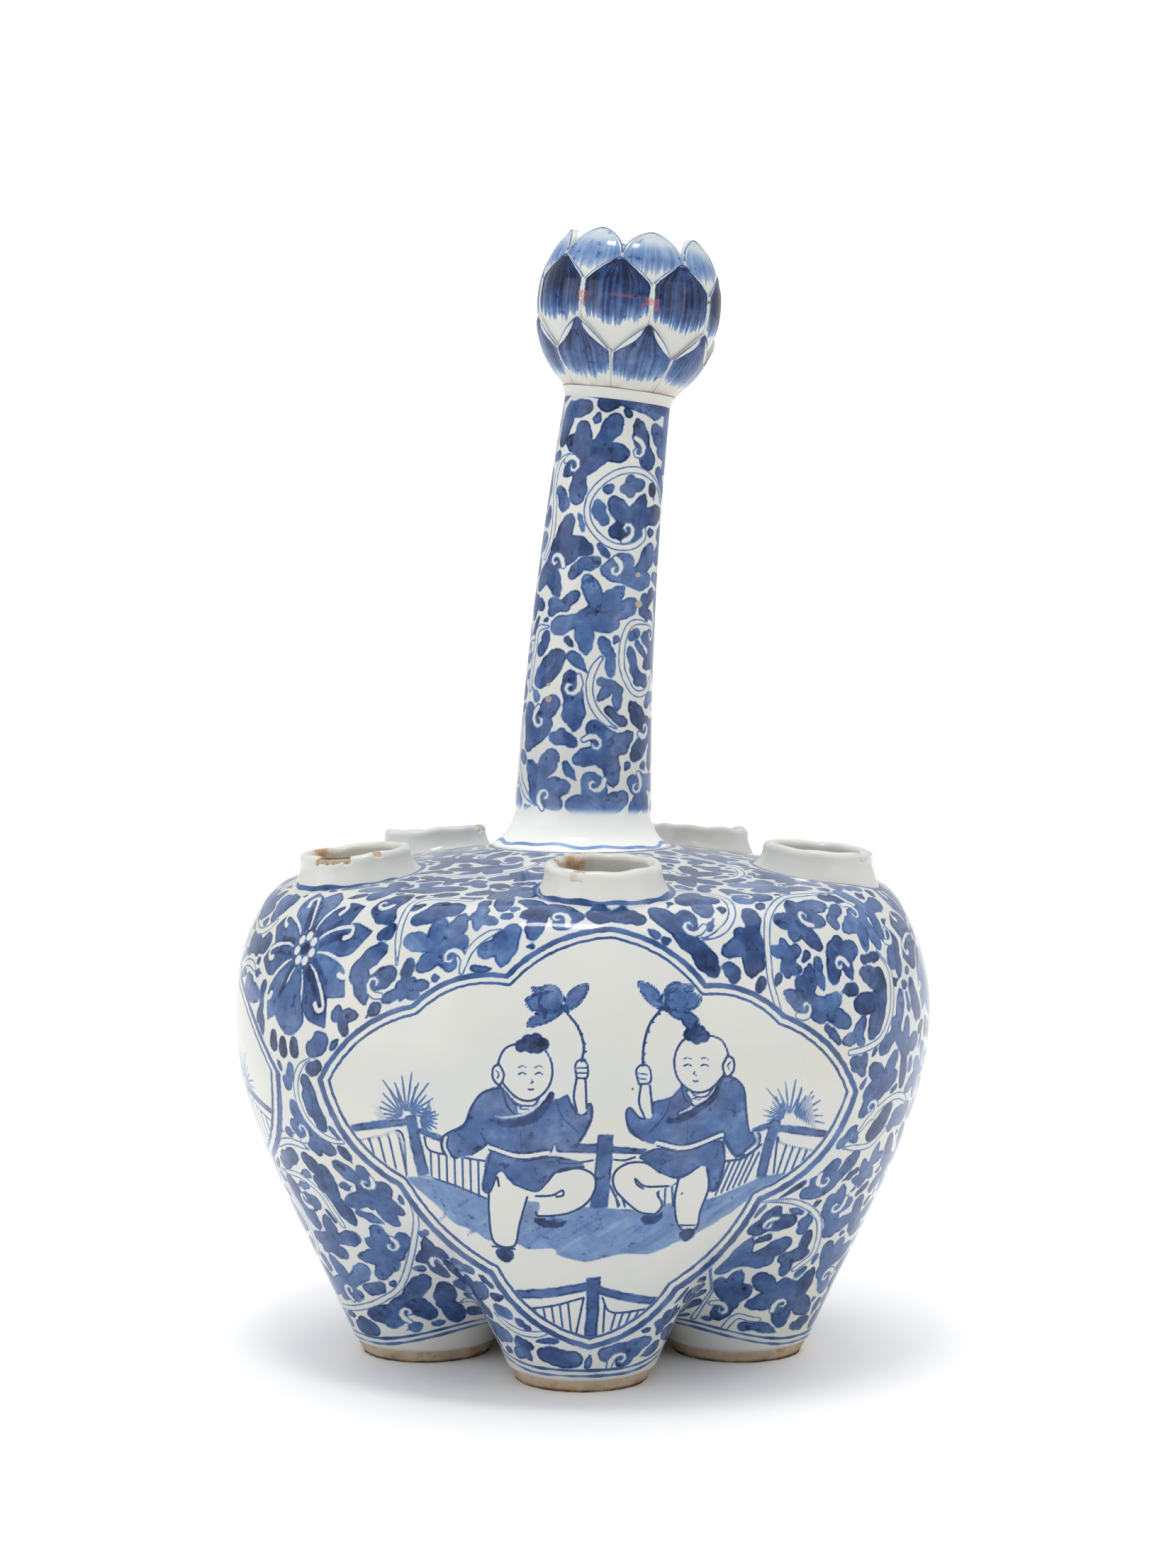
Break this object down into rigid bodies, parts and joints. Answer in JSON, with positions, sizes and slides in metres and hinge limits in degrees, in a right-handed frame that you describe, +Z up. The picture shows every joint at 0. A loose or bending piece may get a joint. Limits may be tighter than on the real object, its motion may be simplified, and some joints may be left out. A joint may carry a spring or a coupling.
{
  "type": "tulipiere",
  "caption": "Lobed blue-and-white porcelain flower vase on short feet, with a ring of stem nozzles on the shoulder around a tall leaning neck with a lotus-bud mouth.",
  "frame": {"origin": "middle of the standing plane, under the body's axis", "axes": "+Z up, -Y towards the viewer, +X to the viewer's right, the way the neck leans"},
  "size_m": [0.1512, 0.1512, 0.2401],
  "materials": {
    "painted_glaze": "gloss",
    "white_glaze": "gloss",
    "petal_glaze": "gloss",
    "biscuit": "matte"
  },
  "bodies": {
    "root": {"lobe_front": "painted_glaze", "lobe_front_right": "painted_glaze", "lobe_rear_right": "painted_glaze", "lobe_rear_left": "painted_glaze", "lobe_front_left": "painted_glaze", "shoulder": "painted_glaze", "neck": "painted_glaze", "nozzle_front": "white_glaze", "nozzle_front_right": "white_glaze", "nozzle_rear_right": "white_glaze", "nozzle_rear_left": "white_glaze", "nozzle_front_left": "white_glaze", "bulb_cup": "white_glaze", "petals_lower": "petal_glaze", "petals_middle": "petal_glaze", "petals_upper": "petal_glaze", "foot_front": "biscuit", "foot_front_right": "biscuit", "foot_rear_right": "biscuit", "foot_rear_left": "biscuit", "foot_front_left": "biscuit"}
  },
  "joints": []
}
